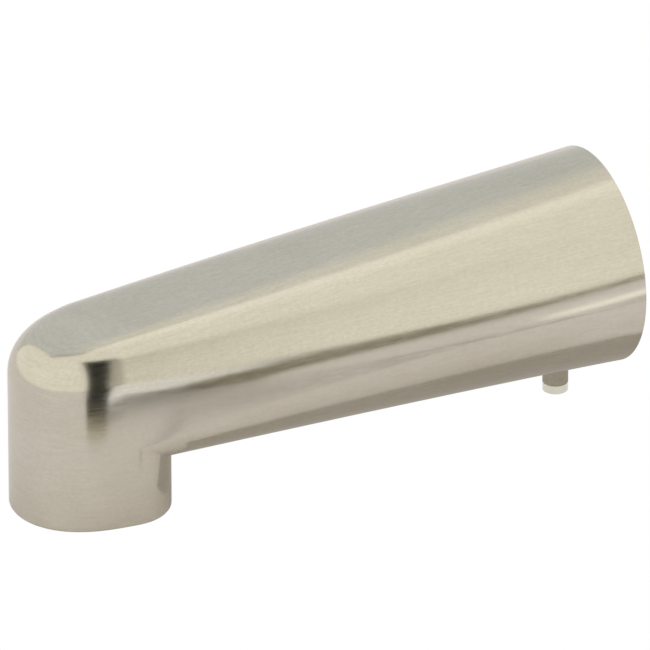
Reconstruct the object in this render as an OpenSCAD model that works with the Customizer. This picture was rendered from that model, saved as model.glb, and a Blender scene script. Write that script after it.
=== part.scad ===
// Wall mounted bath spout with a slip-fit inlet, in millimetres.
// The wall plane is y = 0, the spout reaches out along -Y, +Z is up and the origin is the
// centre of the round wall end, on the axis of the supply tube.

/* [Spout casting] */
// Reach from the wall to the tip of the nose
projection = 178; // [148:1:215]
// Outer radius of the round end at the wall
wall_end_r = 30.4; // [25.3:0.1:36.5]
// Thickness of the cast wall
cast_wall = 3; // [2.4:0.1:3.6]
// Half the width of the nose
nose_half_w = 20.4; // [17:0.1:24.5]
// Length of the rounded tip, ahead of the widest line of the nose
nose_tip_l = 24; // [20:0.5:28]
// Height of the nose's top over the tube axis
nose_top = 18.2; // [16:0.1:21]
// Depth of the nose's underside below the tube axis
nose_under = 19.6; // [17:0.1:22]
// Radius along the top edge at the nose
nose_top_edge_r = 12.4; // [8:0.1:14]
// Radius along the lower edge at the nose
nose_low_edge_r = 7.3; // [5:0.1:9]
// How late the sides draw in on the way to the nose
side_curve = 1.84; // [1:0.01:2.4]
// How late the top edge sharpens on the way to the nose
top_edge_curve = 1.3; // [1:0.01:2]
// How late the lower edge sharpens on the way to the nose
low_edge_curve = 1.66; // [1:0.01:2]

/* [Outlet] */
// Depth of the outlet's lower rim below the tube axis
outlet_drop = 36.3; // [34:0.1:44]
// Reach of the outlet behind the widest line of the nose
outlet_back = 18; // [17:0.1:21]
// Corner radius at the back of the outlet
outlet_corner_r = 14.4; // [8:0.1:16]
// Depth of the recess under the outlet's floor
outlet_recess = 3; // [2.6:0.1:4]
// Radius of the hexagonal channels in the flow straightener
channel_r = 1.75; // [1.4:0.05:2]
// Radius of the holes in the screen
screen_hole_r = 0.9; // [0.6:0.05:1.2]

/* [Tube socket] */
// Radius of the socket for the supply tube
socket_r = 8; // [6.6:0.05:9.6]
// Length of tube that the socket takes
socket_l = 24; // [18:0.5:32]
// Distance from the wall to the socket's mouth
socket_inset = 24; // [23:0.5:30]
// Thickness of the seal rings that grip the tube
pipe_seal_t = 2.6; // [2:0.1:3]
// How far the seal rings stand into the socket
pipe_seal_grip = 0.2; // [0.1:0.05:0.22]
// Thickness of the adapter's wall
adapter_wall = 2; // [1.6:0.1:2.4]
// Length of the ring that holds the seals in
retainer_l = 5; // [4:0.5:7]
// Length of the spacer between the seals
spacer_l = 2; // [1.5:0.5:3]
// Thickness of the adapter's ears
ear_t = 4; // [3:0.5:5]

/* [Waterway] */
// Radius of the channel for the water
channel_bore_r = 8; // [6.5:0.1:9]
// Thickness of the moulded walls
moulded_wall = 2.4; // [1.8:0.1:2.6]
// Length of tube held in each of its sockets
tube_grip = 12; // [10:1:16]
// Thickness of the tube's seal rings
tube_seal_t = 1.4; // [1:0.1:1.6]

/* [Tube clamp] */
// Distance from the wall to the set screw
clamp_inset = 12; // [11:0.5:13]
// Outer radius of the set screw's thread
screw_r = 3; // [2.5:0.1:3.5]
// Gap between the shoe and the tube's socket line when the clamp is open
shoe_gap = 2; // [1.5:0.1:2.5]
// Width of the shoe across the tube
shoe_w = 12; // [10:0.5:13]
// Length of the shoe along the tube
shoe_l = 9; // [7:0.5:9.5]
// Height of the shoe below its saddle
shoe_h = 5; // [4:0.5:6]
// Height of the saddle's cheeks beside the tube
shoe_wrap = 2.4; // [1.5:0.1:3]
// Travel of the clamp below its open place
clamp_back = 1; // [0.5:0.1:1.5]
// Distance that the screw's head lies inside the casting
screw_sink = 2.4; // [2:0.1:3]
// Size of the hex key across its corners
key_r = 1.8; // [1.4:0.1:2]

/* [Wall gasket] */
// Thickness of the foam gasket
gasket_t = 4; // [2:0.5:5]
// Radial width of the foam gasket
gasket_w = 5.6; // [4:0.1:6]

/* [Fits] */
// Gap between pieces that slide together
slide_gap = 0.1; // [0.05:0.01:0.15]
// Gap round the set screw in its hole
thread_gap = 0.05; // [0.02:0.01:0.1]
// Gap between pieces that are seated on each other
seat_gap = 0.05; // [0.02:0.01:0.1]

/* [Hidden] */
$fn = 64;

nickel = [0.72, 0.70, 0.63];
brass = [0.80, 0.62, 0.30];
steel = [0.62, 0.63, 0.65];
rubber = [0.10, 0.10, 0.11];
foam = [0.20, 0.20, 0.21];
moulded = [0.86, 0.86, 0.83];
dark_moulded = [0.25, 0.26, 0.28];

eps = 0.01;
over = 1;                                   // how far a cut runs past what it cuts
proud = 0.02;                               // the outlet's wall over the nose it continues

// Form of the casting: distances d are measured from the wall, along -Y.
barrel_l = projection - nose_tip_l;         // wall to the widest line of the nose
edge_steps = 12;                            // points on each rounded edge of a section
barrel_steps = 18;                          // sections along the barrel
tip_steps = 24;                             // directions round the tip of the nose
corner_steps = 8;                           // points on each back corner of the outlet

function blend(a, b, t) = a + (b - a) * t;
function along(d) = max(0, d) / barrel_l;
function half_w(d, inset = 0) = blend(wall_end_r, nose_half_w, pow(along(d), side_curve)) - inset;
function top_z(d, inset = 0) = blend(wall_end_r, nose_top, along(d)) - inset;
function low_z(d, inset = 0) = -blend(wall_end_r, nose_under, min(1, along(d))) + inset;
function top_r(d, inset = 0) = blend(wall_end_r, nose_top_edge_r, pow(along(d), top_edge_curve)) - inset;
function low_r(d, inset = 0) = blend(wall_end_r, nose_low_edge_r, pow(along(d), low_edge_curve)) - inset;

// Half a section as [distance in from the side, drop from the top or rise from the underside].
function top_edge(r) = [for (k = [1:edge_steps]) let (a = 90 * k / edge_steps) [r * (1 - sin(a)), r * (1 - cos(a))]];
function low_edge(r) = [
    for (k = [1:edge_steps - 1]) let (a = 90 * k / edge_steps) [r * (1 - cos(a)), r * (1 - sin(a))]
];
function section_side(d, inset, side) = concat(
    [for (p = top_edge(top_r(d, inset))) [side * (half_w(d, inset) - p[0]), -d, top_z(d, inset) - p[1]]],
    [for (p = low_edge(low_r(d, inset))) [side * (half_w(d, inset) - p[0]), -d, low_z(d, inset) + p[1]]]
);
function reversed(list) = [for (i = [len(list) - 1:-1:0]) list[i]];
function section(d, inset) = concat(
    [[0, -d, top_z(d, inset)]],
    section_side(d, inset, 1),
    [[0, -d, low_z(d, inset)]],
    reversed(section_side(d, inset, -1))
);
// Points of the tip in one direction: the outline is half an ellipse that shrinks by the edge's inset.
function tip_point(turn, inset, side_in) = [
    (nose_half_w - inset - side_in) * cos(turn),
    -barrel_l - (nose_tip_l - inset - side_in) * sin(turn)
];
function tip_side(turn, inset) = concat(
    [for (p = top_edge(nose_top_edge_r - inset)) let (q = tip_point(turn, inset, p[0]))
        [q[0], q[1], top_z(-q[1], inset) - p[1]]],
    [for (p = low_edge(nose_low_edge_r - inset)) let (q = tip_point(turn, inset, p[0]))
        [q[0], q[1], low_z(barrel_l, inset) + p[1]]]
);

side_n = 2 * edge_steps - 1;                // points down one side of a section
ring_n = 2 * side_n + 2;                    // points round a whole section
last_ring = barrel_steps * ring_n;          // first index of the section at the nose's widest line
tip_start = last_ring + ring_n;             // first index of the tip's points
// Index of point j, down the side, in direction m round the tip.
function tip_index(m, j) =
    m == 0 ? last_ring + 1 + j
    : m == tip_steps ? last_ring + ring_n - 1 - j
    : tip_start + (m - 1) * side_n + j;

// The barrel and nose as one closed form, drawn in by inset all round and longer by start at the wall.
module spout_form(inset = 0, start = 0) {
    stations = concat([-start], [for (i = [1:barrel_steps]) barrel_l * i / barrel_steps]);
    points = concat(
        [for (d = stations) each section(d, inset)],
        [for (m = [1:tip_steps - 1]) each tip_side(180 * m / tip_steps, inset)]
    );
    wall_face = [[for (k = [ring_n - 1:-1:0]) k]];
    barrel = [for (i = [0:barrel_steps - 1], k = [0:ring_n - 1])
        let (a = i * ring_n + k, b = i * ring_n + (k + 1) % ring_n)
        each [[a, b, a + ring_n], [b, b + ring_n, a + ring_n]]];
    tip = [for (m = [0:tip_steps - 1], j = [0:side_n - 2])
        let (a = tip_index(m, j), b = tip_index(m, j + 1), c = tip_index(m + 1, j), e = tip_index(m + 1, j + 1))
        each [[a, b, c], [b, e, c]]];
    poles = [for (m = [0:tip_steps - 1]) each [
        [last_ring, tip_index(m, 0), tip_index(m + 1, 0)],
        [last_ring + 1 + side_n, tip_index(m + 1, side_n - 1), tip_index(m, side_n - 1)]
    ]];
    polyhedron(points, concat(wall_face, barrel, tip, poles), convexity = 6);
}

// Plan of the outlet: the nose's half ellipse in front, and behind it sides that follow the barrel
// and turn in round the back corners.
outlet_plan_inset = -proud;
function back_corner(turn, inset, side) =
    let (back = outlet_back - outlet_corner_r + (outlet_corner_r - inset) * sin(turn))
    [side * (half_w(barrel_l - back) - outlet_corner_r + (outlet_corner_r - inset) * cos(turn)), back - barrel_l];
function outlet_plan(inset) = concat(
    [for (m = [0:tip_steps]) tip_point(180 * m / tip_steps, inset, 0)],
    [for (k = [0:corner_steps]) back_corner(90 * k / corner_steps, inset, -1)],
    [for (k = [corner_steps:-1:0]) back_corner(90 * k / corner_steps, inset, 1)]
);
outlet_d = barrel_l + (nose_tip_l - outlet_back) / 2;    // wall to the middle of the outlet
outlet_rim_z = -outlet_drop;
floor_low_z = outlet_rim_z + outlet_recess;
floor_top_z = floor_low_z + cast_wall;
outlet_top_z = -nose_under + nose_low_edge_r + over;     // above the nose's rounded lower edge

// Tube socket, seals and adapter
pipe_seal_mid_r = socket_r - pipe_seal_grip + pipe_seal_t / 2;
chamber_r = socket_r - pipe_seal_grip + pipe_seal_t + seat_gap;
adapter_r = chamber_r + adapter_wall;
retainer_r = chamber_r - seat_gap;
retainer_end = socket_inset + retainer_l;
rear_seal_d = retainer_end + seat_gap + pipe_seal_t / 2;
spacer_d = rear_seal_d + pipe_seal_t / 2 + seat_gap;
front_seal_d = spacer_d + spacer_l + seat_gap + pipe_seal_t / 2;
seat_d = front_seal_d + pipe_seal_t / 2 + seat_gap;
socket_end = seat_d + socket_l;
stop_t = 2.6;                                            // shoulder that the tube's end meets
tube_r = channel_bore_r + moulded_wall;
tube_socket_r = tube_r + slide_gap;
adapter_end = socket_end + stop_t + tube_grip;
front_r = max(adapter_r, tube_socket_r + adapter_wall);
ear_d = seat_d + 10;                                     // face of the ears, towards the wall
boss_d = ear_d + ear_t + seat_gap;
boss_l = 12;
boss_r = 3.4;
boss_x = half_w(boss_d, cast_wall) - boss_r - 1.8;
ear_r = 4.2;
adapter_screw_r = 1.45;
adapter_screw_l = 9;
screw_head_r = 2.8;
screw_head_t = 2;
recess_t = 1.2;                                          // depth of a driver's recess

// Waterway and outlet
elbow_socket_l = tube_grip + 2;
elbow_neck_l = 10;
tube_start = socket_end + stop_t + seat_gap;
elbow_mouth = outlet_d - tube_r - elbow_neck_l - elbow_socket_l;
tube_end = elbow_mouth + tube_grip;
seal_bed_r = tube_r - tube_seal_t + slide_gap;           // bottom of the tube's seal grooves
tube_seal_r = (tube_socket_r - seal_bed_r) / 2 - eps;
tube_seal_mid_r = (tube_socket_r + seal_bed_r) / 2;
rear_groove_d = tube_start + tube_grip / 2;
front_groove_d = tube_end - tube_grip / 2;
groove_w = tube_seal_t + 0.4;
outlet_reach = min(nose_half_w, (nose_tip_l + outlet_back) / 2); // from its middle to the nearest outside
flange_r = outlet_reach - cast_wall - 1.6;
flange_t = 2.8;
spigot_r = flange_r - 3.2;
floor_bore_r = spigot_r + slide_gap;
insert_seat_r = spigot_r - 1.9;                          // bore for the screen and the straightener
insert_r = insert_seat_r - slide_gap;
seal_groove_w = 1.8;
seal_groove_t = 1.5;
outlet_seal_r = seal_groove_t / 2 - eps;
outlet_seal_mid_r = floor_bore_r + seal_groove_w / 2;
insert_top_z = floor_top_z + 4.4;
screen_t = 0.8;
lip_t = 0.7;
collar_lip_z = outlet_rim_z + lip_t;
spigot_end_z = collar_lip_z + seat_gap;
collar_r = flange_r - 0.4;
collar_lip_r = insert_r - 1.2;
notch_w = 3;

// Gasket: inside the casting's narrowest section over the gasket's thickness, and its flat facets
gasket_r = min(top_z(gasket_t, cast_wall), -low_z(gasket_t, cast_wall)) * cos(45 / edge_steps) - slide_gap;

// Tube clamp: z of each level when the clamp is open
saddle_z = -socket_r - shoe_gap;
shoe_low_z = saddle_z - shoe_h;
pocket_z = shoe_low_z - clamp_back - 0.4;
guide_z = saddle_z - shoe_h / 2;
screw_low_z = low_z(clamp_inset, screw_sink + clamp_back);
tip_r = screw_r - 1;
tip_l = 2;
key_depth = 3;
guide_wall = 2.4;
access_r = screw_r + 0.6;

module bar(r, from, to) {
    translate([0, -from, 0]) rotate([90, 0, 0]) cylinder(r = r, h = to - from);
}
module post(r, d, low, high) {
    translate([0, -d, low]) cylinder(r = r, h = high - low);
}
module sleeve(outer_r, inner_r, from, to) {
    difference() {
        bar(outer_r, from, to);
        bar(inner_r, from - over, to + over);
    }
}
module seal_ring(mid_r, r, d) {
    translate([0, -d, 0]) rotate([90, 0, 0]) rotate_extrude() translate([mid_r, 0]) circle(r = r);
}
module outlet_block(inset, low, high) {
    translate([0, 0, low]) linear_extrude(high - low) polygon(outlet_plan(inset));
}

// Spout casting -------------------------------------------------------------------------
module casting_skin() {
    difference() {
        union() {
            spout_form();
            outlet_block(outlet_plan_inset, outlet_rim_z, outlet_top_z);
        }
        spout_form(cast_wall, over);
        outlet_block(cast_wall, floor_top_z, low_z(barrel_l, cast_wall) + over);
        outlet_block(cast_wall, outlet_rim_z - over, floor_low_z);
    }
}
// Cast pads inside the skin, cut off in the middle of the wall that they stand on.
module casting_pads() {
    intersection() {
        spout_form(cast_wall / 2);
        union() {
            translate([0, -clamp_inset, (guide_z - wall_end_r) / 2])
                cube([shoe_w + 2 * (slide_gap + guide_wall), shoe_l + 2 * (slide_gap + guide_wall),
                    guide_z + wall_end_r], center = true);
            for (side = [-1, 1]) {
                translate([side * boss_x, 0, 0]) bar(boss_r, boss_d, boss_d + boss_l);
                translate([side * (boss_x + wall_end_r) / 2, -boss_d - boss_l / 2, 0])
                    cube([wall_end_r - boss_x, boss_l, cast_wall], center = true);
            }
        }
    }
}
module spout_body() {
    color(nickel) difference() {
        union() {
            casting_skin();
            casting_pads();
        }
        post(floor_bore_r, outlet_d, floor_low_z - over, floor_top_z + over);
        translate([0, -outlet_d, floor_top_z - seal_groove_t])
            cylinder(r = floor_bore_r + seal_groove_w, h = seal_groove_t + over);
        post(screw_r + thread_gap, clamp_inset, -wall_end_r, guide_z + over);
        post(access_r, clamp_inset, -wall_end_r, screw_low_z + clamp_back);
        translate([0, -clamp_inset, pocket_z + (guide_z - pocket_z + over) / 2])
            cube([shoe_w + 2 * slide_gap, shoe_l + 2 * slide_gap, guide_z - pocket_z + over], center = true);
        for (side = [-1, 1])
            translate([side * boss_x, 0, 0])
                bar(adapter_screw_r + eps, boss_d - over, boss_d + adapter_screw_l);
    }
}
module wall_gasket() {
    color(foam) sleeve(gasket_r, gasket_r - gasket_w, 0, gasket_t);
}

// Inlet adapter and its seals -----------------------------------------------------------
module ears() {
    translate([0, -ear_d, 0]) rotate([90, 0, 0]) linear_extrude(ear_t) {
        for (side = [-1, 1]) translate([side * boss_x, 0]) circle(r = ear_r);
        square([2 * boss_x, 2 * ear_r], center = true);
    }
}
module inlet_adapter() {
    color(brass) difference() {
        union() {
            bar(adapter_r, socket_inset, socket_end);
            bar(front_r, socket_end - over, adapter_end);
            ears();
        }
        bar(chamber_r, socket_inset - over, seat_d);
        bar(socket_r, seat_d - over, socket_end);
        bar(socket_r - 1.4, socket_end - over, adapter_end + over);
        bar(tube_socket_r, socket_end + stop_t, adapter_end + over);
        for (side = [-1, 1])
            translate([side * boss_x, 0, 0]) bar(adapter_screw_r + slide_gap, ear_d - over, boss_d + over);
    }
}
module adapter_screws() {
    color(steel) for (side = [-1, 1]) translate([side * boss_x, 0, 0]) difference() {
        union() {
            bar(screw_head_r, ear_d - seat_gap - screw_head_t, ear_d - seat_gap);
            bar(adapter_screw_r, ear_d - seat_gap - eps, boss_d + adapter_screw_l - 0.5);
        }
        for (turn = [0, 90])
            translate([0, -ear_d + seat_gap + screw_head_t, 0]) rotate([0, turn, 0])
                cube([screw_head_r * 1.2, recess_t * 2, 0.7], center = true);
    }
}
module seal_retainer() {
    color(brass) difference() {
        sleeve(retainer_r, socket_r + slide_gap, socket_inset, retainer_end);
        for (turn = [0, 90])
            rotate([0, turn, 0]) translate([0, -socket_inset, 0])
                cube([2 * chamber_r, recess_t * 2, 2], center = true);
    }
}
module rear_pipe_seal() {
    color(rubber) seal_ring(pipe_seal_mid_r, pipe_seal_t / 2, rear_seal_d);
}
module seal_spacer() {
    color(dark_moulded) sleeve(retainer_r, socket_r + slide_gap, spacer_d, spacer_d + spacer_l);
}
module front_pipe_seal() {
    color(rubber) seal_ring(pipe_seal_mid_r, pipe_seal_t / 2, front_seal_d);
}

// Waterway ------------------------------------------------------------------------------
module waterway_tube() {
    color(moulded) difference() {
        sleeve(tube_r, channel_bore_r, tube_start, tube_end);
        for (d = [rear_groove_d, front_groove_d])
            sleeve(tube_r + over, seal_bed_r, d - groove_w / 2, d + groove_w / 2);
    }
}
module tube_rear_seal() {
    color(rubber) seal_ring(tube_seal_mid_r, tube_seal_r, rear_groove_d);
}
module tube_front_seal() {
    color(rubber) seal_ring(tube_seal_mid_r, tube_seal_r, front_groove_d);
}
module outlet_elbow() {
    color(moulded) difference() {
        union() {
            bar(tube_socket_r + moulded_wall, elbow_mouth, elbow_mouth + elbow_socket_l);
            bar(tube_r, elbow_mouth + elbow_socket_l - over, outlet_d);
            translate([0, -outlet_d, 0]) sphere(r = tube_r);
            post(tube_r, outlet_d, insert_top_z, 0);
            post(spigot_r, outlet_d, spigot_end_z, insert_top_z + moulded_wall);
            post(flange_r, outlet_d, floor_top_z + seat_gap, floor_top_z + seat_gap + flange_t);
        }
        bar(tube_socket_r, elbow_mouth - over, tube_end + seat_gap);
        bar(channel_bore_r, elbow_mouth, outlet_d);
        translate([0, -outlet_d, 0]) sphere(r = channel_bore_r);
        post(channel_bore_r, outlet_d, spigot_end_z - over, 0);
        post(insert_seat_r, outlet_d, spigot_end_z - over, insert_top_z);
    }
}
module outlet_seal() {
    color(rubber) translate([0, -outlet_d, floor_top_z - seal_groove_t / 2])
        rotate_extrude() translate([outlet_seal_mid_r, 0]) circle(r = outlet_seal_r);
}
// Cuts one hole at each point of a hexagonal grid that lies at least r inside the insert's rim.
module grid_holes(pitch, r, rim, sides, low, high) {
    reach = ceil(insert_r / pitch);
    for (i = [-reach:reach], j = [-reach:reach]) {
        x = pitch * (i + j / 2);
        y = pitch * j * sqrt(3) / 2;
        if (norm([x, y]) + r + rim < insert_r)
            translate([x, y - outlet_d, low]) rotate([0, 0, 30]) cylinder(r = r, h = high - low, $fn = sides);
    }
}
module outlet_screen() {
    low = insert_top_z - seat_gap - screen_t;
    color(steel) difference() {
        post(insert_r, outlet_d, low, low + screen_t);
        grid_holes(screen_hole_r * 2.7, screen_hole_r, 0.6, 16, low - over, low + screen_t + over);
    }
}
module flow_straightener() {
    high = insert_top_z - 2 * seat_gap - screen_t;
    color(dark_moulded) difference() {
        post(insert_r, outlet_d, spigot_end_z, high);
        grid_holes(channel_r * 2, channel_r, 0.6, 6, spigot_end_z - over, high + over);
    }
}
module outlet_collar() {
    color(dark_moulded) difference() {
        post(collar_r, outlet_d, outlet_rim_z, floor_low_z - seat_gap);
        post(spigot_r + slide_gap, outlet_d, collar_lip_z, floor_low_z + over);
        post(collar_lip_r, outlet_d, outlet_rim_z - over, floor_low_z + over);
        for (turn = [45:90:315])
            translate([0, -outlet_d, outlet_rim_z]) rotate([0, 0, turn])
                translate([collar_r, 0, 0]) cube([notch_w, notch_w, recess_t * 2], center = true);
    }
}

// Tube clamp ----------------------------------------------------------------------------
module set_screw() {
    color(steel) difference() {
        union() {
            post(screw_r, clamp_inset, screw_low_z, shoe_low_z - seat_gap);
            post(tip_r, clamp_inset, shoe_low_z - seat_gap - eps, shoe_low_z + tip_l);
        }
        translate([0, -clamp_inset, screw_low_z - over]) cylinder(r = key_r, h = key_depth + over, $fn = 6);
    }
}
module clamp_shoe() {
    color(brass) difference() {
        translate([0, -clamp_inset, shoe_low_z + (shoe_h + shoe_wrap) / 2])
            cube([shoe_w, shoe_l, shoe_h + shoe_wrap], center = true);
        translate([0, 0, -shoe_gap]) bar(socket_r, clamp_inset - shoe_l, clamp_inset + shoe_l);
        post(tip_r + thread_gap, clamp_inset, shoe_low_z - over, shoe_low_z + tip_l + seat_gap);
    }
}

spout_body();
wall_gasket();
inlet_adapter();
adapter_screws();
seal_retainer();
rear_pipe_seal();
seal_spacer();
front_pipe_seal();
waterway_tube();
tube_rear_seal();
tube_front_seal();
outlet_elbow();
outlet_seal();
outlet_screen();
flow_straightener();
outlet_collar();
set_screw();
clamp_shoe();
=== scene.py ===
import math

import bmesh
import bpy
from mathutils import Matrix, Vector


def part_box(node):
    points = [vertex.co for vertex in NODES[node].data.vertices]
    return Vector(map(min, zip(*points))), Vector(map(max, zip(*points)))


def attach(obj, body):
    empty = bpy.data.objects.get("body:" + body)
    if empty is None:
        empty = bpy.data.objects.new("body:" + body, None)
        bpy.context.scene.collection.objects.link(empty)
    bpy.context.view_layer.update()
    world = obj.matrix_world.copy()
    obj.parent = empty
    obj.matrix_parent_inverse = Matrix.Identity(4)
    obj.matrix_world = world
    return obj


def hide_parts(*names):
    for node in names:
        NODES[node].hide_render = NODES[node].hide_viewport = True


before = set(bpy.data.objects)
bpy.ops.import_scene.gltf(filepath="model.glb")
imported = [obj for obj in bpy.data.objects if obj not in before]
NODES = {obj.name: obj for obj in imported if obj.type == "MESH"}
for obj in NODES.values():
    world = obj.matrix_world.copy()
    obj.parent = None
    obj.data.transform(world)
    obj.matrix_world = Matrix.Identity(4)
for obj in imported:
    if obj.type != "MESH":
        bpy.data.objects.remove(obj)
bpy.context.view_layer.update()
MM = 0.001

# ---------------------------------------------------------------- form of the casting, in millimetres
def box_mm(name):
    """Low and high corner of a node's box in the frame, to a tenth of a millimetre."""
    return [[round(float(v) / MM, 1) for v in corner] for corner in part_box(name)]


# The same functions as the part's source: d is the distance from the wall, so y = -d.
CASTING_LOW, CASTING_HIGH = box_mm("spout_body")
WALL_R, WALL_T = CASTING_HIGH[0], 3.0
NOSE_W, TIP_L = 20.4, 24.0
REACH = -CASTING_LOW[1]
BARREL_L = REACH - TIP_L
NOSE_TOP, NOSE_LOW = 18.2, 19.6
TOP_EDGE_R, LOW_EDGE_R = 12.4, 7.3
SIDE_CURVE, TOP_CURVE, LOW_CURVE = 1.84, 1.3, 1.66
OUT_BACK, OUT_R = 18.0, 14.4
RIM_Z, RECESS = CASTING_LOW[2], 3.0
OUT_D = BARREL_L + (TIP_L - OUT_BACK) / 2
FLOOR_LOW_Z = RIM_Z + RECESS
FLOOR_TOP_Z = FLOOR_LOW_Z + WALL_T
# the outlet's bore lies inside the elbow's flange, which has a gap round it and a seat under it
FLANGE_GAP, FLANGE_SEAT, BORE_GAP = 1.6, 3.2, 0.1
BORE_R = NOSE_W - WALL_T - FLANGE_GAP - FLANGE_SEAT + BORE_GAP


def blend(a, b, t):
    return a + (b - a) * t


def along(d):
    return max(0.0, d) / BARREL_L


def half_w(d, t=0.0):
    return blend(WALL_R, NOSE_W, along(d) ** SIDE_CURVE) - t


def top_z(d, t=0.0):
    return blend(WALL_R, NOSE_TOP, along(d)) - t


def low_z(d, t=0.0):
    return -blend(WALL_R, NOSE_LOW, min(1.0, along(d))) + t


def top_r(d, t=0.0):
    return blend(WALL_R, TOP_EDGE_R, along(min(d, BARREL_L)) ** TOP_CURVE) - t


def low_r(d, t=0.0):
    return blend(WALL_R, LOW_EDGE_R, along(min(d, BARREL_L)) ** LOW_CURVE) - t


# The sides still narrow where the tip begins, and the tip takes that slope over and lets it fade.
TIP_SLOPE = SIDE_CURVE * (WALL_R - NOSE_W) / BARREL_L


def tip_point(a, inset):
    reach = (TIP_L - inset) * math.sin(a)
    narrowing = TIP_SLOPE * reach * (1 - math.sin(a)) ** 2
    return (NOSE_W - inset) * math.cos(a) - math.copysign(narrowing, math.cos(a)), -BARREL_L - reach


# Numbers of steps round a section: top flat, top edge, side, lower edge as far as the outlet's width,
# rest of the underside, and down the outlet's wall.
N_FLAT, N_EDGE, N_SIDE, N_LOW, N_REST, N_WALL = 10, 22, 8, 20, 9, 16
SIDE_END = N_FLAT + N_EDGE + N_SIDE
# Numbers of steps along it: barrel, the outlet's corner, its straight side, and round the tip.
N_BARREL, N_CORNER, N_RUN, N_TIP = 84, 20, 3, 72
TINY = 1e-6


def low_path(d, t, length):
    """Point on the lower half of a section, at a length along it from where the side ends."""
    r, w, z = low_r(d, t), half_w(d, t), low_z(d, t)
    quarter = r * math.pi / 2
    if length <= quarter:
        a = length / r
        return w - r * (1 - math.cos(a)), z + r * (1 - math.sin(a))
    return max(0.0, w - r - (length - quarter)), z


def low_length(d, t, inset):
    """Length along the lower half of a section to where it lies inset from the side."""
    r = low_r(d, t)
    if inset <= r:
        return r * math.acos(1 - inset / r)
    return r * math.pi / 2 + inset - r


def stations(t):
    """Distances of the sections, each with the inset where the outlet's wall cuts it, or None."""
    first = BARREL_L - (OUT_BACK - t)
    out = [(first * i / N_BARREL, None) for i in range(N_BARREL)]
    for k in range(N_CORNER, -1, -1):
        a = math.pi / 2 * k / N_CORNER
        back = OUT_BACK - OUT_R + (OUT_R - t) * math.sin(a)
        out.append((BARREL_L - back, (OUT_R - t) * (1 - math.cos(a))))
    run = OUT_BACK - OUT_R
    out += [(BARREL_L - run * (1 - k / N_RUN), 0.0) for k in range(1, N_RUN + 1)]
    return out


def section(d, t, cut):
    """Right half of a section from its top centre: points to the cut, and then to the bottom centre."""
    w, z1, r1, r2 = half_w(d, t), top_z(d, t), top_r(d, t), low_r(d, t)
    z2 = low_z(d, t)
    pts = [((w - r1) * k / N_FLAT, z1) for k in range(N_FLAT)]
    for k in range(N_EDGE):
        a = math.pi / 2 * k / N_EDGE
        pts.append((w - r1 * (1 - math.sin(a)), z1 - r1 * (1 - math.cos(a))))
    pts += [(w, blend(z1 - r1, z2 + r2, k / N_SIDE)) for k in range(N_SIDE)]
    end = low_length(d, t, OUT_R - t if cut is None else cut)
    pts += [low_path(d, t, end * k / N_LOW) for k in range(N_LOW + 1)]
    whole = r2 * math.pi / 2 + w - r2
    rest = [low_path(d, t, blend(end, whole, k / N_REST)) for k in range(1, N_REST + 1)]
    return pts, rest


def outline(t):
    """Plan of the outlet as a closed loop: tip from the right, left side and corner, back, right side."""
    loop = []
    for m in range(N_TIP + 1):
        loop.append(tip_point(math.pi * m / N_TIP, t))
    side = []
    run = OUT_BACK - OUT_R
    for k in range(1, N_RUN + 1):
        back = run * k / N_RUN
        side.append((half_w(BARREL_L - back) - t, back - BARREL_L))
    for k in range(1, N_CORNER + 1):
        a = math.pi / 2 * k / N_CORNER
        back = run + (OUT_R - t) * math.sin(a)
        side.append((half_w(BARREL_L - back) - OUT_R + (OUT_R - t) * math.cos(a), back - BARREL_L))
    last = side[-1]
    back_line = [(last[0] * (1 - k / N_REST), last[1]) for k in range(1, N_REST + 1)]
    loop += [(-x, y) for x, y in side]
    loop += [(-x, y) for x, y in back_line[:-1]] + [(0.0, last[1])]
    loop += [p for p in reversed(back_line[:-1])] + [p for p in reversed(side)]
    return loop


class Shape:
    """Collects grids of quads, in millimetres, and makes one merged mesh of them."""

    def __init__(self):
        self.points, self.faces = [], []

    def grid(self, rows, flip=False, closed=False):
        base, n = len(self.points), len(rows[0])
        for row in rows:
            self.points += row
        for i in range(len(rows) - 1):
            for j in range(n if closed else n - 1):
                k = (j + 1) % n
                quad = [base + i * n + j, base + i * n + k, base + (i + 1) * n + k, base + (i + 1) * n + j]
                self.faces.append(quad[::-1] if flip else quad)

    def object(self, name, merge=0.0005):
        mesh = bpy.data.meshes.new(name)
        bm = bmesh.new()
        verts = [bm.verts.new((x * MM, y * MM, z * MM)) for x, y, z in self.points]
        for face in self.faces:
            bm.faces.new([verts[i] for i in face])
        bmesh.ops.remove_doubles(bm, verts=bm.verts, dist=merge * MM)
        bmesh.ops.dissolve_degenerate(bm, edges=bm.edges, dist=merge * MM)
        bmesh.ops.recalc_face_normals(bm, faces=bm.faces)
        bm.to_mesh(mesh)
        bm.free()
        o = bpy.data.objects.new(name, mesh)
        bpy.context.scene.collection.objects.link(o)
        return o


def straight_down(x, y, z, end_z):
    return [(x, y, blend(z, end_z, k / N_WALL)) for k in range(N_WALL + 1)]


def barrel_half(shape, t, wall_end_z, side):
    """One side of the barrel and the nose, with the outlet's wall under it."""
    back_d = BARREL_L - (OUT_BACK - t)
    corner_d = BARREL_L - (OUT_BACK - OUT_R)
    upper, lower, bottom, wall = [], [], [], []
    for d, cut in stations(t):
        pts, rest = section(d, t, cut)
        place = [(side * x, -d, z) for x, z in pts]
        upper.append(place[:SIDE_END + 1])
        if d < corner_d + TINY:
            lower.append(place[SIDE_END:])
        if d < back_d + TINY:
            bottom.append([place[-1]] + [(side * x, -d, z) for x, z in rest])
        if cut is not None:
            wall.append(straight_down(*place[-1], wall_end_z))
    # back of the outlet's wall, from the corner to the middle
    back = [straight_down(*point, wall_end_z) for point in bottom[-1]]
    for rows in (upper, lower, bottom, wall, back):
        shape.grid(rows)


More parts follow.
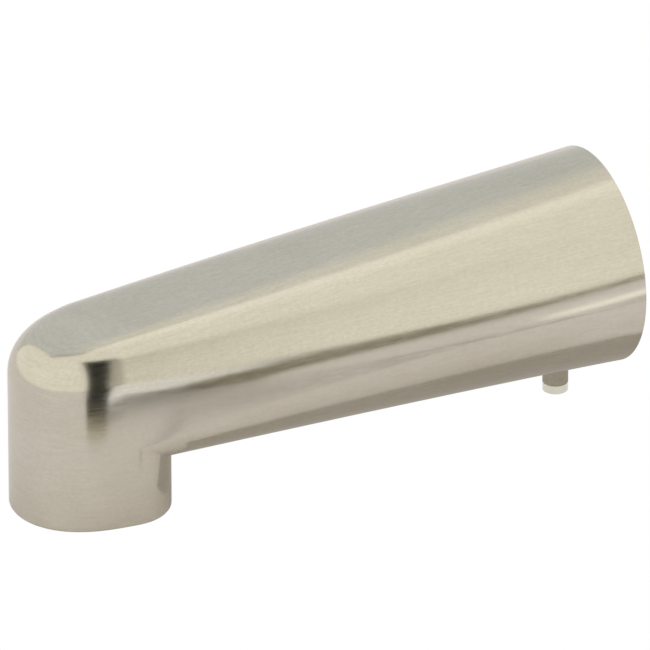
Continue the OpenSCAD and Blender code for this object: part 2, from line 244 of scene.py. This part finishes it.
def nose_tip(shape, t, wall_end_z):
    """The rounded front: from the top's middle over the edge and down the outlet's wall."""
    side_end_z = low_z(BARREL_L, t) + low_r(BARREL_L, t)
    r = TOP_EDGE_R - t
    rows = []
    for m in range(N_TIP + 1):
        a = math.pi * m / N_TIP
        flat_x, flat_y = tip_point(a, t + r)
        row = []
        for k in range(N_FLAT):
            x, y = flat_x * k / N_FLAT, blend(-BARREL_L, flat_y, k / N_FLAT)
            row.append((x, y, top_z(-y, t)))
        for k in range(N_EDGE + 1):
            b = math.pi / 2 * k / N_EDGE
            x, y = tip_point(a, t + r * (1 - math.sin(b)))
            row.append((x, y, top_z(-y, t) - r * (1 - math.cos(b))))
        x, y, z = row[-1]
        row += [(x, y, blend(z, side_end_z, k / N_SIDE)) for k in range(1, N_SIDE + 1)]
        row += straight_down(x, y, side_end_z, wall_end_z)[1:]
        rows.append(row)
    shape.grid(rows)


def skin(shape, t, wall_end_z):
    """Barrel, nose and outlet wall, drawn in by t, with the outlet's wall ending at wall_end_z."""
    for side in (1, -1):
        barrel_half(shape, t, wall_end_z, side)
    nose_tip(shape, t, wall_end_z)


def end_ring(t):
    """The wall end's section as a ring, from the top centre round the right side."""
    pts, rest = section(0.0, t, None)
    right = pts + rest
    return [(x, 0.0, z) for x, z in right] + [(-x, 0.0, z) for x, z in right[-2:0:-1]]


RIM_ROUND, MOUTH_ROUND, RIM_STEPS = 0.9, 0.4, 4
END_EDGE = 0.35       # width of the narrow outer ring on the wall end's flat face


def casting_mesh():
    s = Shape()
    skin(s, 0.0, RIM_Z + RIM_ROUND)
    skin(s, WALL_T, FLOOR_TOP_Z)
    # the wall end's flat face
    s.grid([end_ring(t) for t in (0.0, END_EDGE, WALL_T)], closed=True)
    # outlet: rim, recess, floor and bore
    loops = []
    for k in range(RIM_STEPS + 1):
        a = math.pi / 2 * k / RIM_STEPS
        z = RIM_Z + RIM_ROUND * (1 - math.sin(a))
        loops.append([(x, y, z) for x, y in outline(RIM_ROUND * (1 - math.cos(a)))])
    loops.append([(x, y, RIM_Z) for x, y in outline(WALL_T - MOUTH_ROUND)])
    loops.append([(x, y, RIM_Z + MOUTH_ROUND) for x, y in outline(WALL_T)])
    loops.append([(x, y, FLOOR_LOW_Z) for x, y in outline(WALL_T)])
    inner = outline(WALL_T)
    angles = [math.atan2(y + OUT_D, x) for x, y in inner]
    circle = [(BORE_R * math.cos(a), BORE_R * math.sin(a) - OUT_D) for a in angles]
    for f in (0.5, 1.0):
        between = [(blend(p[0], q[0], f), blend(p[1], q[1], f)) for p, q in zip(inner, circle)]
        loops.append([(x, y, FLOOR_LOW_Z) for x, y in between])
    loops.append([(x, y, FLOOR_TOP_Z) for x, y in circle])
    loops.append([(x, y, FLOOR_TOP_Z) for x, y in inner])
    s.grid(loops, closed=True)
    return s.object("spout_casting")


def solid_box(name, low, high):
    mesh = bpy.data.meshes.new(name)
    bm = bmesh.new()
    bmesh.ops.create_cube(bm, size=1.0)
    for v in bm.verts:
        v.co = Vector([(blend(a, b, c + 0.5)) * MM for a, b, c in zip(low, high, v.co)])
    bm.to_mesh(mesh)
    bm.free()
    o = bpy.data.objects.new(name, mesh)
    bpy.context.scene.collection.objects.link(o)
    return o


def solid_bar(name, r, centre, axis, low, high, sides=96):
    """A closed round bar along axis ('y' counts distance from the wall) between low and high."""
    mesh = bpy.data.meshes.new(name)
    bm = bmesh.new()
    loops = []
    for h in (low, high):
        loop = []
        for k in range(sides):
            a = 2 * math.pi * k / sides
            u, v = r * math.cos(a), r * math.sin(a)
            p = (centre[0] + u, -h, centre[1] + v) if axis == "y" else (centre[0] + u, centre[1] + v, h)
            loop.append(bm.verts.new([c * MM for c in p]))
        loops.append(loop)
    for k in range(sides):
        n = (k + 1) % sides
        bm.faces.new((loops[0][k], loops[0][n], loops[1][n], loops[1][k]))
    for loop in loops:
        bm.faces.new(loop)
    bmesh.ops.recalc_face_normals(bm, faces=bm.faces)
    bm.to_mesh(mesh)
    bm.free()
    o = bpy.data.objects.new(name, mesh)
    bpy.context.scene.collection.objects.link(o)
    return o


def combine(target, tools, operation):
    for tool in tools:
        m = target.modifiers.new("combine", "BOOLEAN")
        m.operation, m.solver, m.object = operation, "EXACT", tool
        bpy.context.view_layer.update()
        done = bpy.data.meshes.new_from_object(target.evaluated_get(bpy.context.evaluated_depsgraph_get()))
        target.modifiers.clear()
        old, target.data = target.data, done
        bpy.data.meshes.remove(old)
        data = tool.data
        bpy.data.objects.remove(tool)
        bpy.data.meshes.remove(data)


def smooth(o, degrees=32.0):
    for p in o.data.polygons:
        p.use_smooth = True
    o.data.set_sharp_from_angle(angle=math.radians(degrees))


# ---------------------------------------------------------------- materials
def new_material(name):
    m = bpy.data.materials.new(name)
    m.use_nodes = True
    nt = m.node_tree
    nt.nodes.clear()
    out = nt.nodes.new("ShaderNodeOutputMaterial")
    b = nt.nodes.new("ShaderNodeBsdfPrincipled")
    nt.links.new(b.outputs["BSDF"], out.inputs["Surface"])
    return m, nt, b


def node(nt, kind, **values):
    n = nt.nodes.new(kind)
    for key, value in values.items():
        if key in n.inputs:
            n.inputs[key].default_value = value
        else:
            setattr(n, key, value)
    return n


def noise(nt, coords, stretch, detail=3.0, rough=0.5):
    """Noise in object space; stretch gives how often it repeats per metre along each axis."""
    mapping = node(nt, "ShaderNodeMapping")
    mapping.inputs["Scale"].default_value = stretch
    nt.links.new(coords, mapping.inputs["Vector"])
    n = node(nt, "ShaderNodeTexNoise", Scale=1.0, Detail=detail, Roughness=rough)
    nt.links.new(mapping.outputs["Vector"], n.inputs["Vector"])
    return n.outputs["Fac"]


def ramp(nt, fac, stops):
    n = node(nt, "ShaderNodeValToRGB")
    while len(n.color_ramp.elements) < len(stops):
        n.color_ramp.elements.new(0.5)
    for e, (place, value) in zip(n.color_ramp.elements, stops):
        e.position = place
        e.color = (value, value, value, 1) if isinstance(value, float) else (*value, 1)
    nt.links.new(fac, n.inputs["Fac"])
    return n.outputs["Color"]


def mix(nt, fac, a, b):
    n = node(nt, "ShaderNodeMix", data_type="FLOAT")
    for value, socket in ((fac, n.inputs[0]), (a, n.inputs[2]), (b, n.inputs[3])):
        if isinstance(value, float):
            socket.default_value = value
        else:
            nt.links.new(value, socket)
    return n.outputs[0]


NICKEL_DARK = (0.600, 0.568, 0.482)
NICKEL_MIDDLE = (0.625, 0.592, 0.503)
NICKEL_LIGHT = (0.640, 0.610, 0.528)
NOSE_FROM, NOSE_FULL = -0.135, -0.160      # y where the brushing turns from the barrel's to the nose's


def brushed_nickel():
    m, nt, b = new_material("brushed_nickel")
    b.inputs["Metallic"].default_value = 1.0
    coords = node(nt, "ShaderNodeTexCoord").outputs["Object"]
    split = node(nt, "ShaderNodeSeparateXYZ")
    nt.links.new(coords, split.inputs["Vector"])
    # brushed along the barrel, and round the nose
    near_nose = node(nt, "ShaderNodeMapRange")
    near_nose.inputs["From Min"].default_value = NOSE_FROM
    near_nose.inputs["From Max"].default_value = NOSE_FULL
    nt.links.new(split.outputs["Y"], near_nose.inputs["Value"])
    fine_barrel = noise(nt, coords, (2400, 90, 2400), detail=4.0, rough=0.7)
    fine_nose = noise(nt, coords, (130, 130, 2400), detail=4.0, rough=0.7)
    lines = mix(nt, near_nose.outputs["Result"], fine_barrel, fine_nose)
    speckle = noise(nt, coords, (1100, 800, 1100), detail=5.0, rough=0.75)
    cloud = noise(nt, coords, (45, 30, 45), detail=4.0, rough=0.6)
    colour = ramp(nt, cloud, [(0.3, NICKEL_DARK), (0.5, NICKEL_MIDDLE), (0.7, NICKEL_LIGHT)])
    grain = ramp(nt, mix(nt, 0.5, lines, speckle), [(0.36, 0.915), (0.64, 1.075)])
    tinted = node(nt, "ShaderNodeMix", data_type="RGBA", blend_type="MULTIPLY")
    tinted.inputs[0].default_value = 1.0
    nt.links.new(colour, tinted.inputs[6])
    nt.links.new(grain, tinted.inputs[7])
    nt.links.new(tinted.outputs[2], b.inputs["Base Color"])
    rough_lines = ramp(nt, lines, [(0.3, 0.11), (0.7, 0.18)])
    rough_cloud = ramp(nt, cloud, [(0.3, -0.02), (0.7, 0.03)])
    add = node(nt, "ShaderNodeMath", operation="ADD")
    nt.links.new(rough_lines, add.inputs[0])
    nt.links.new(rough_cloud, add.inputs[1])
    nt.links.new(add.outputs[0], b.inputs["Roughness"])
    height = mix(nt, 0.35, lines, speckle)
    bump = node(nt, "ShaderNodeBump", Strength=0.10, Distance=0.00005)
    nt.links.new(height, bump.inputs["Height"])
    nt.links.new(bump.outputs["Normal"], b.inputs["Normal"])
    return m


ROUGH_SPREAD = 0.06


def plain_kind(name, colour, spread, metallic, rough, grain, bump_strength, bump_distance, specular=0.5):
    """Material with a fine grain in its colour, gloss and surface."""
    m, nt, b = new_material(name)
    b.inputs["Metallic"].default_value = metallic
    b.inputs["Specular IOR Level"].default_value = specular
    coords = node(nt, "ShaderNodeTexCoord").outputs["Object"]
    fine = noise(nt, coords, (grain, grain, grain), detail=5.0, rough=0.6)
    wide = noise(nt, coords, (grain / 12, grain / 12, grain / 12), detail=3.0)
    dark = tuple(c * (1 - spread) for c in colour)
    light = tuple(min(1.0, c * (1 + spread)) for c in colour)
    shade = ramp(nt, mix(nt, 0.5, fine, wide), [(0.35, dark), (0.65, light)])
    nt.links.new(shade, b.inputs["Base Color"])
    gloss = ramp(nt, fine, [(0.3, max(0.02, rough - ROUGH_SPREAD)), (0.7, rough + ROUGH_SPREAD)])
    nt.links.new(gloss, b.inputs["Roughness"])
    bump = node(nt, "ShaderNodeBump", Strength=bump_strength, Distance=bump_distance)
    nt.links.new(fine, bump.inputs["Height"])
    nt.links.new(bump.outputs["Normal"], b.inputs["Normal"])
    return m


nickel = brushed_nickel()
brass = plain_kind("machined_brass", (0.62, 0.44, 0.19), 0.06, 1.0, 0.26, 900.0, 0.15, 0.00005)
steel = plain_kind("zinc_steel", (0.56, 0.56, 0.55), 0.05, 1.0, 0.28, 900.0, 0.15, 0.00005)
rubber = plain_kind("seal_rubber", (0.016, 0.016, 0.017), 0.15, 0.0, 0.55, 700.0, 0.3, 0.00008)
foam = plain_kind("gasket_foam", (0.045, 0.045, 0.047), 0.35, 0.0, 0.9, 1300.0, 0.9, 0.0004, 0.2)
white_plastic = plain_kind("white_plastic", (0.72, 0.72, 0.68), 0.03, 0.0, 0.4, 500.0, 0.1, 0.00005)
grey_plastic = plain_kind("grey_plastic", (0.055, 0.057, 0.062), 0.12, 0.0, 0.42, 600.0, 0.2, 0.00006)

for names, material in (
    (("wall_gasket",), foam),
    (("inlet_adapter", "seal_retainer", "clamp_shoe"), brass),
    (("adapter_screws", "outlet_screen", "set_screw"), steel),
    (("rear_pipe_seal", "front_pipe_seal", "tube_rear_seal", "tube_front_seal", "outlet_seal"), rubber),
    (("waterway_tube", "outlet_elbow"), white_plastic),
    (("seal_spacer", "flow_straightener", "outlet_collar"), grey_plastic),
):
    for name in names:
        o = NODES[name]
        if not o.material_slots:
            o.data.materials.append(material)
        for slot in o.material_slots:
            slot.material = material

# ---------------------------------------------------------------- casting
SHOE_LOW, SHOE_HIGH = box_mm("clamp_shoe")
SCREW_LOW, SCREW_HIGH = box_mm("set_screw")
CLAMP_D = -(SCREW_LOW[1] + SCREW_HIGH[1]) / 2
SLIDE_GAP, GUIDE_WALL, OVER = 0.1, 2.4, 1.0
GUIDE_Z, POCKET_Z = -12.5, -16.4
PAD_LOW_Z, THREAD_LOW_Z, KEY_LOW_Z = -27.5, -26.0, -40.0
THREAD_R, KEY_R, SCREW_HOLE_R = 3.05, 3.6, 1.46
SCREW_SINK, KEY_OVER = 2.4, 1.0
POCKET_X = SHOE_HIGH[0] + SLIDE_GAP
POCKET_Y = (SHOE_HIGH[1] - SHOE_LOW[1]) / 2 + SLIDE_GAP
BOSS_D, BOSS_L, BOSS_R, BOSS_ROOM = 50.45, 12.0, 3.4, 1.8
BOSS_END = BOSS_D + BOSS_L
BOSS_X = half_w(BOSS_D, WALL_T) - BOSS_R - BOSS_ROOM
SCREW_HOLE_L, WEB_T = 9.0, 3.0


def clamp_block(name, wall, low_z_end, high_z_end):
    """Box round the shoe's pocket, wider than it by wall."""
    x, y = POCKET_X + wall, POCKET_Y + wall
    return solid_box(name, (-x, -CLAMP_D - y, low_z_end), (x, -CLAMP_D + y, high_z_end))


def boss_web(side):
    """Flat web from a boss into the casting's wall."""
    ends = sorted((side * BOSS_X, side * (half_w(BOSS_END) - WALL_T / 2)))
    return solid_box("web", (ends[0], -BOSS_END, -WEB_T / 2), (ends[1], -BOSS_D, WEB_T / 2))


casting = casting_mesh()
pads = [clamp_block("pad", GUIDE_WALL, PAD_LOW_Z, GUIDE_Z)]
for side in (1, -1):
    pads.append(solid_bar("boss", BOSS_R, (side * BOSS_X, 0.0), "y", BOSS_D, BOSS_END))
    pads.append(boss_web(side))
combine(casting, pads, "UNION")
SCREW_LOW_Z = low_z(CLAMP_D, SCREW_SINK + KEY_OVER)
cuts = [
    clamp_block("pocket", 0.0, POCKET_Z, GUIDE_Z + OVER),
    solid_bar("thread_hole", THREAD_R, (0.0, -CLAMP_D), "z", THREAD_LOW_Z, GUIDE_Z + OVER),
    solid_bar("key_hole", KEY_R, (0.0, -CLAMP_D), "z", KEY_LOW_Z, SCREW_LOW_Z + KEY_OVER),
]
for side in (1, -1):
    centre = (side * BOSS_X, 0.0)
    cuts.append(solid_bar("screw_hole", SCREW_HOLE_R, centre, "y", BOSS_D - OVER, BOSS_D + SCREW_HOLE_L, 32))
combine(casting, cuts, "DIFFERENCE")
smooth(casting)
casting.data.materials.clear()
casting.data.materials.append(nickel)
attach(casting, "spout")
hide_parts("spout_body")

# ---------------------------------------------------------------- camera
AZIMUTH, ELEVATION, DISTANCE = math.radians(63.2), math.radians(30.0), 4.0
# Width that the lens takes in at the target, and how far the target lies from the axis's middle, in metres.
SENSOR, SEEN_WIDTH = 36.0, 0.17784
AIM_RIGHT, AIM_UP = 0.00497, 0.00014
right = Vector((math.cos(AZIMUTH), math.sin(AZIMUTH), 0.0))
level = Vector((math.sin(AZIMUTH), -math.cos(AZIMUTH), 0.0))
back = level * math.cos(ELEVATION) + Vector((0.0, 0.0, math.sin(ELEVATION)))
up = back.cross(right)
middle = Vector((0.0, -REACH * MM / 2, 0.0))
target = middle + right * AIM_RIGHT + up * AIM_UP
camera_data = bpy.data.cameras.new("camera")
camera_data.sensor_width = SENSOR
camera_data.lens = SENSOR * DISTANCE / SEEN_WIDTH
camera_data.clip_start, camera_data.clip_end = 0.1, 400.0
camera = bpy.data.objects.new("camera", camera_data)
bpy.context.scene.collection.objects.link(camera)
turned = Matrix((right, up, back)).transposed().to_4x4()
camera.matrix_world = Matrix.Translation(target + back * DISTANCE) @ turned
bpy.context.scene.camera = camera

# ---------------------------------------------------------------- studio
# level directions from the object towards the picture's viewpoint, and to its right
TOWARDS, LEVEL = level, right


def card(name, corners, colour, strength, glossy_only=False, diffuse=False):
    mesh = bpy.data.meshes.new(name)
    mesh.from_pydata([tuple(c) for c in corners], [], [tuple(range(len(corners)))])
    o = bpy.data.objects.new(name, mesh)
    bpy.context.scene.collection.objects.link(o)
    m = bpy.data.materials.new(name)
    m.use_nodes = True
    nt = m.node_tree
    nt.nodes.clear()
    out = nt.nodes.new("ShaderNodeOutputMaterial")
    kind = "ShaderNodeBsdfDiffuse" if diffuse else "ShaderNodeEmission"
    s = nt.nodes.new(kind)
    s.inputs["Color"].default_value = (*colour, 1)
    if not diffuse:
        s.inputs["Strength"].default_value = strength
    nt.links.new(s.outputs[0], out.inputs["Surface"])
    mesh.materials.append(m)
    if glossy_only:
        o.visible_camera = o.visible_diffuse = o.visible_shadow = False
        o.visible_transmission = o.visible_volume_scatter = False
    return o


FLOOR_Z, FLOOR_HALF, WHITE = -5.0, 100.0, (1.0, 1.0, 1.0)
SQUARE = ((-1, -1), (1, -1), (1, 1), (-1, 1))
card("floor", [(x * FLOOR_HALF, y * FLOOR_HALF, FLOOR_Z) for x, y in SQUARE], WHITE, 1.0)
# A low table under the object, seen only in its reflections. Its edge runs past the nose and off
# to the right.
# Where cards on it overlap, each next layer lies a little higher.
TABLE_Z = RIM_Z * MM - 0.0012
LAYER_2, LAYER_3, LAYER_4 = TABLE_Z + 0.0002, TABLE_Z + 0.0003, TABLE_Z + 0.0004
FAR = 4.0
TABLE_WHITE, UNDER_GREY, GLINT_WHITE = (0.935, 0.905, 0.96), (0.42, 0.39, 0.35), (1.0, 0.99, 0.93)
SLOT_BLACK, FADE_BROWN, LINE_BLACK = (0.012, 0.013, 0.008), (0.50, 0.44, 0.31), (0.03, 0.025, 0.012)
BAND_BLACK, BAND_BROWN = (0.05, 0.045, 0.03), (0.27, 0.25, 0.18)


def level_point(start, azimuth, length):
    """Point at a length from start, in a level direction counted from the nose's own."""
    a = math.radians(azimuth)
    return (start[0] + length * math.sin(a), start[1] - length * math.cos(a))


def flat_card(name, points, z, colour, strength=1.0, diffuse=False):
    corners = [(x, y, z) for x, y in points]
    return card(name, corners, colour, strength, glossy_only=True, diffuse=diffuse)


# The edge runs straight past the nose, turns at EDGE_TURN and goes off; a dark band lies along its outside.
EDGE_NEAR, EDGE_SIDE, EDGE_TURN, EDGE_FAR = (0.0765, -0.184), (0.081, -0.158), (0.093, -0.096), (FAR, 2.7)
BAND_NEAR, BAND_TURN, BAND_OPEN, BAND_FAR = (0.089, -0.158), (0.101, -0.123), (0.225, -0.064), (FAR, 1.05)
nose_far = level_point(EDGE_NEAR, 70.0, FAR)
slot_far = level_point(EDGE_SIDE, 90.0, FAR)
table_edge = [nose_far, EDGE_NEAR, EDGE_SIDE, EDGE_TURN, EDGE_FAR]
table_back = [(FAR, FAR), (-FAR, FAR), (-FAR, -FAR)]
flat_card("table", table_edge + table_back, TABLE_Z, TABLE_WHITE, diffuse=True)
flat_card("slot_floor", [EDGE_NEAR, nose_far, slot_far, EDGE_SIDE], TABLE_Z, SLOT_BLACK)
flat_card("slot_fade", [EDGE_NEAR, EDGE_SIDE, (0.073, -0.160), (0.069, -0.181)], LAYER_3, FADE_BROWN)
flat_card("band_near", [EDGE_SIDE, EDGE_TURN, BAND_TURN, BAND_NEAR], TABLE_Z, BAND_BLACK)
flat_card("band_far", [EDGE_TURN, EDGE_FAR, BAND_FAR, BAND_OPEN, BAND_TURN], TABLE_Z, BAND_BROWN)
# A thin dark line on the table, a little inside its edge and wider away from the nose.
DARK_LINE = [(0.054, -0.1415), (0.079, -0.125), (0.090, -0.058), (0.109, 0.010), (0.120, 0.080)]
LINE_FIRST_W, LINE_WIDENS = 0.0005, 0.0038
line_w = [LINE_FIRST_W + LINE_WIDENS * k / (len(DARK_LINE) - 1) for k in range(len(DARK_LINE))]
line_inside = [(x - w, y + w) for (x, y), w in zip(DARK_LINE, line_w)]
flat_card("table_dark_line", DARK_LINE + line_inside[::-1], LAYER_2, LINE_BLACK)
# a small bright object on the table, near the wall
GLINT = [(0.117, 0.004), (0.150, 0.020), (0.172, 0.085), (0.128, 0.070)]
flat_card("table_glint", GLINT, LAYER_4, GLINT_WHITE, 1.35)
# the table is in shade close under the barrel
UNDER_W, UNDER_FRONT, UNDER_BACK, UNDER_NARROWS = 0.037, -0.128, 0.2, 0.006
flat_card("under_shade", [(-UNDER_W, UNDER_FRONT), (UNDER_W - UNDER_NARROWS, UNDER_FRONT), (UNDER_W, 0.0),
                          (UNDER_W, UNDER_BACK), (-UNDER_W, UNDER_BACK)], LAYER_2, UNDER_GREY)

# ---------------------------------------------------------------- world: a sky of panels, by direction
world = bpy.data.worlds.new("studio")
bpy.context.scene.world = world
world.use_nodes = True
nt = world.node_tree
nt.nodes.clear()
direction = node(nt, "ShaderNodeTexCoord").outputs["Generated"]


def dot_with(v):
    n = node(nt, "ShaderNodeVectorMath", operation="DOT_PRODUCT")
    n.inputs[1].default_value = tuple(v)
    nt.links.new(direction, n.inputs[0])
    return n.outputs["Value"]


def step(value, low, high):
    n = node(nt, "ShaderNodeMapRange", interpolation_type="SMOOTHSTEP")
    n.inputs["From Min"].default_value = low
    n.inputs["From Max"].default_value = high
    nt.links.new(value, n.inputs["Value"])
    return n.outputs["Result"]


def of_two(operation, a, b):
    n = node(nt, "ShaderNodeMath", operation=operation)
    nt.links.new(a, n.inputs[0])
    nt.links.new(b, n.inputs[1])
    return n.outputs[0]


def product(a, b):
    return of_two("MULTIPLY", a, b)


def total(a, b):
    return of_two("ADD", a, b)


def mix_colour(fac, a, b):
    n = node(nt, "ShaderNodeMix", data_type="RGBA")
    nt.links.new(fac, n.inputs[0])
    for value, socket in ((a, n.inputs[6]), (b, n.inputs[7])):
        if isinstance(value, tuple):
            socket.default_value = (*value, 1)
        else:
            nt.links.new(value, socket)
    return n.outputs[2]


def times(value, factor):
    n = node(nt, "ShaderNodeMath", operation="MULTIPLY")
    n.inputs[1].default_value = factor
    nt.links.new(value, n.inputs[0])
    return n.outputs[0]


toward = dot_with(TOWARDS)
sideways = dot_with(LEVEL)
GREY, CREAM, DARK = (0.72, 0.74, 0.75), (1.04, 1.02, 0.93), (0.008, 0.009, 0.004)
WARM, GLOW = (0.90, 0.885, 0.83), (1.20, 1.18, 1.09)
SEAM_BROWN, DIM = (0.45, 0.41, 0.34), (0.45, 0.44, 0.36)
# the two halves meet overhead; to the right of the viewpoint the near half reaches further over
reach_over = total(toward, times(step(sideways, -0.12, 0.12), 0.37))
reach_over = total(reach_over, times(step(sideways, -0.50, -0.68), 0.75))
rising = product(step(reach_over, -0.75, -0.12), step(sideways, -0.20, 0.05))
sky = mix_colour(rising, GREY, WARM)
sky = mix_colour(step(reach_over, -0.03, 0.05), sky, CREAM)
seam = product(step(reach_over, -0.10, -0.05), step(reach_over, 0.03, -0.02))
seam = product(seam, step(sideways, 0.15, 0.02))
sky = mix_colour(times(seam, 0.8), sky, SEAM_BROWN)
glow = product(step(reach_over, -0.03, 0.03), step(reach_over, 0.30, 0.05))
glow = product(glow, step(sideways, -0.1, 0.08))
sky = mix_colour(glow, sky, GLOW)
# dark slot between the panels in front, right of the viewpoint, with a dimmer stretch after it
SLOT_TURN = math.radians(16.0)
slot_dir = TOWARDS * math.cos(SLOT_TURN) + LEVEL * math.sin(SLOT_TURN)
across = dot_with((-slot_dir.y, slot_dir.x, 0.0))
ahead = step(toward, 0.30, 0.38)
dim = product(product(step(across, 0.14, 0.17), step(across, 0.46, 0.22)), ahead)
sky = mix_colour(times(dim, 0.75), sky, DIM)
in_slot = product(product(step(across, -0.165, -0.145), step(across, 0.160, 0.140)), ahead)
sky = mix_colour(in_slot, sky, DARK)
w_out = nt.nodes.new("ShaderNodeOutputWorld")
w_back = node(nt, "ShaderNodeBackground", Strength=1.0)
nt.links.new(sky, w_back.inputs["Color"])
nt.links.new(w_back.outputs[0], w_out.inputs["Surface"])

bpy.context.scene.view_settings.view_transform = "Standard"
bpy.context.scene.view_settings.look = "None"

bpy.context.view_layer.update()
